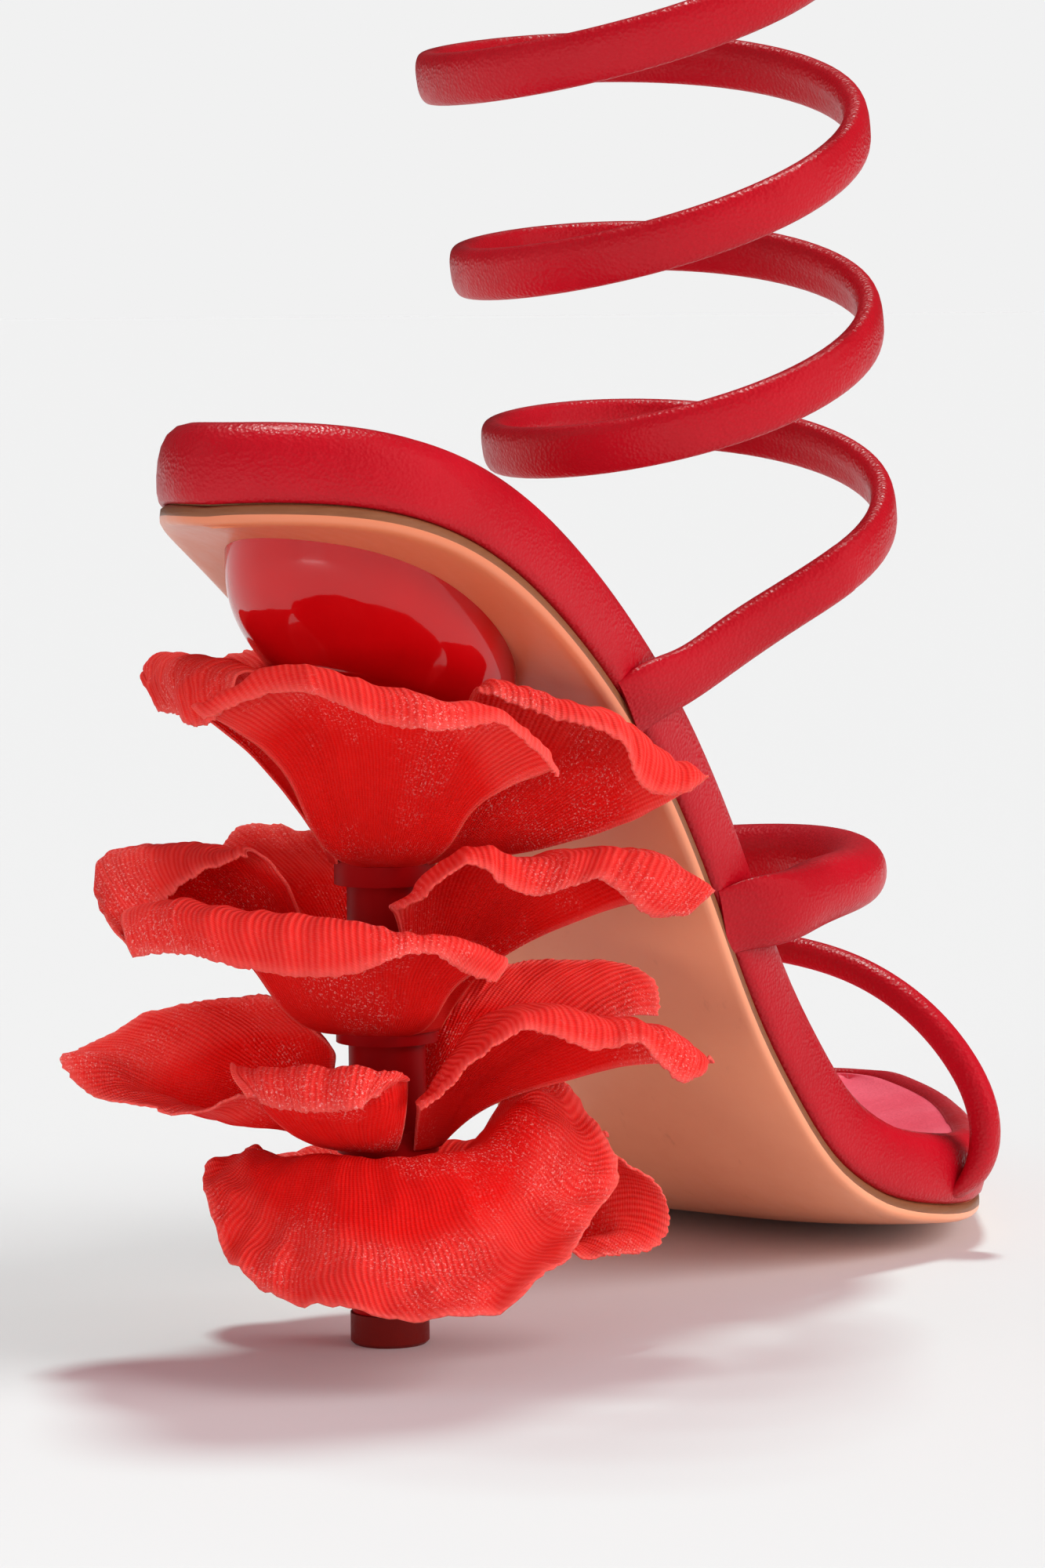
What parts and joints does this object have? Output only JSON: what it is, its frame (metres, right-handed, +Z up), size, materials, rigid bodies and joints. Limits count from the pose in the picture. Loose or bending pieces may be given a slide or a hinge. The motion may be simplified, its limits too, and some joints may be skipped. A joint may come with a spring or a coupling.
{
  "type": "strappy high-heel sandal",
  "caption": "Open high-heel sandal with a padded curved footbed, puffy toe and instep straps, a springy spiral ankle strap and a slim heel ringed by ruffled fabric petals.",
  "frame": {"origin": "centre of the heel tip's bottom face, on the floor", "axes": "+X from heel to toe along the shoe, +Y to the big-toe side, +Z up along the heel stem"},
  "size_m": [0.2068, 0.0959, 0.1984],
  "materials": {
    "red_leather": "satin",
    "insole_leather": "matte",
    "sole_leather": "satin",
    "fibre_board": "matte",
    "cushion_foam": "matte",
    "filler_cord": "matte",
    "red_lacquer": "gloss",
    "red_plastic": "satin",
    "petal_fabric": "matte",
    "lift_rubber": "matte",
    "plain_steel": "satin",
    "spring_wire": "satin"
  },
  "bodies": {
    "root": {"outsole": "sole_leather", "insole_board": "fibre_board", "footbed_foam": "cushion_foam", "sock_lining": "insole_leather", "footbed_rim": "red_leather", "steel_shank": "plain_steel", "shank_rivets": "plain_steel", "heel_shell": "red_lacquer", "heel_dowel": "plain_steel", "top_lift": "lift_rubber", "top_lift_pin": "plain_steel", "heel_screw": "plain_steel", "heel_nails": "plain_steel", "toe_strap": "red_leather", "toe_strap_cord": "filler_cord", "instep_strap": "red_leather", "instep_strap_cord": "filler_cord", "ankle_strap_root": "red_leather", "memory_wire_root": "spring_wire", "petal_collar_1": "red_plastic", "petal_1_front": "petal_fabric", "petal_1_left": "petal_fabric", "petal_1_right": "petal_fabric", "petal_1_inner": "petal_fabric", "petal_collar_2": "red_plastic", "petal_2_front": "petal_fabric", "petal_2_left": "petal_fabric", "petal_2_right": "petal_fabric", "petal_2_inner": "petal_fabric", "petal_collar_3": "red_plastic", "petal_3_front": "petal_fabric", "petal_3_left": "petal_fabric", "petal_3_right": "petal_fabric", "petal_3_inner": "petal_fabric", "petal_collar_4": "red_plastic", "petal_4_front": "petal_fabric", "petal_4_left": "petal_fabric", "petal_4_right": "petal_fabric", "petal_4_inner": "petal_fabric"},
    "wrap_1": {"ankle_strap_1": "red_leather", "memory_wire_1": "spring_wire"},
    "wrap_2": {"ankle_strap_2": "red_leather", "memory_wire_2": "spring_wire"},
    "wrap_3": {"ankle_strap_3": "red_leather", "memory_wire_3": "spring_wire"},
    "wrap_4": {"ankle_strap_4": "red_leather", "memory_wire_4": "spring_wire"},
    "wrap_5": {"ankle_strap_5": "red_leather", "memory_wire_5": "spring_wire"},
    "wrap_6": {"ankle_strap_6": "red_leather", "memory_wire_6": "spring_wire"},
    "wrap_7": {"ankle_strap_7": "red_leather", "memory_wire_7": "spring_wire"},
    "wrap_8": {"ankle_strap_8": "red_leather", "memory_wire_8": "spring_wire", "ankle_strap_tip": "red_leather"}
  },
  "joints": [
    {"name": "wrap_lean", "type": "hinge", "parent": "root", "child": "wrap_1", "pos_m": [0.04866, -0.03853, 0.09684], "axis": [0, 1, 0], "range_deg": [-6, 10], "stiffness_Nm_per_rad": 1.5},
    {"name": "wrap_stretch_2", "type": "slide", "parent": "wrap_1", "child": "wrap_2", "axis": [-0.2637, -0.0366, 0.9639], "range_m": [-0.004, 0.006], "stiffness_N_per_m": 1000},
    {"name": "wrap_stretch_3", "type": "slide", "parent": "wrap_2", "child": "wrap_3", "axis": [-0.2637, -0.0366, 0.9639], "range_m": [-0.004, 0.006], "stiffness_N_per_m": 1000},
    {"name": "wrap_stretch_4", "type": "slide", "parent": "wrap_3", "child": "wrap_4", "axis": [-0.2637, -0.0366, 0.9639], "range_m": [-0.004, 0.006], "stiffness_N_per_m": 1000},
    {"name": "wrap_stretch_5", "type": "slide", "parent": "wrap_4", "child": "wrap_5", "axis": [-0.2637, -0.0366, 0.9639], "range_m": [-0.004, 0.006], "stiffness_N_per_m": 1000},
    {"name": "wrap_stretch_6", "type": "slide", "parent": "wrap_5", "child": "wrap_6", "axis": [-0.2637, -0.0366, 0.9639], "range_m": [-0.004, 0.006], "stiffness_N_per_m": 1000},
    {"name": "wrap_stretch_7", "type": "slide", "parent": "wrap_6", "child": "wrap_7", "axis": [-0.2637, -0.0366, 0.9639], "range_m": [-0.004, 0.006], "stiffness_N_per_m": 1000},
    {"name": "wrap_stretch_8", "type": "slide", "parent": "wrap_7", "child": "wrap_8", "axis": [-0.2637, -0.0366, 0.9639], "range_m": [-0.004, 0.006], "stiffness_N_per_m": 1000}
  ],
  "couplings": [
    {"joint": "wrap_stretch_3", "follows": "wrap_stretch_2", "ratio": 1},
    {"joint": "wrap_stretch_4", "follows": "wrap_stretch_2", "ratio": 1},
    {"joint": "wrap_stretch_5", "follows": "wrap_stretch_2", "ratio": 1},
    {"joint": "wrap_stretch_6", "follows": "wrap_stretch_2", "ratio": 1},
    {"joint": "wrap_stretch_7", "follows": "wrap_stretch_2", "ratio": 1},
    {"joint": "wrap_stretch_8", "follows": "wrap_stretch_2", "ratio": 1}
  ]
}
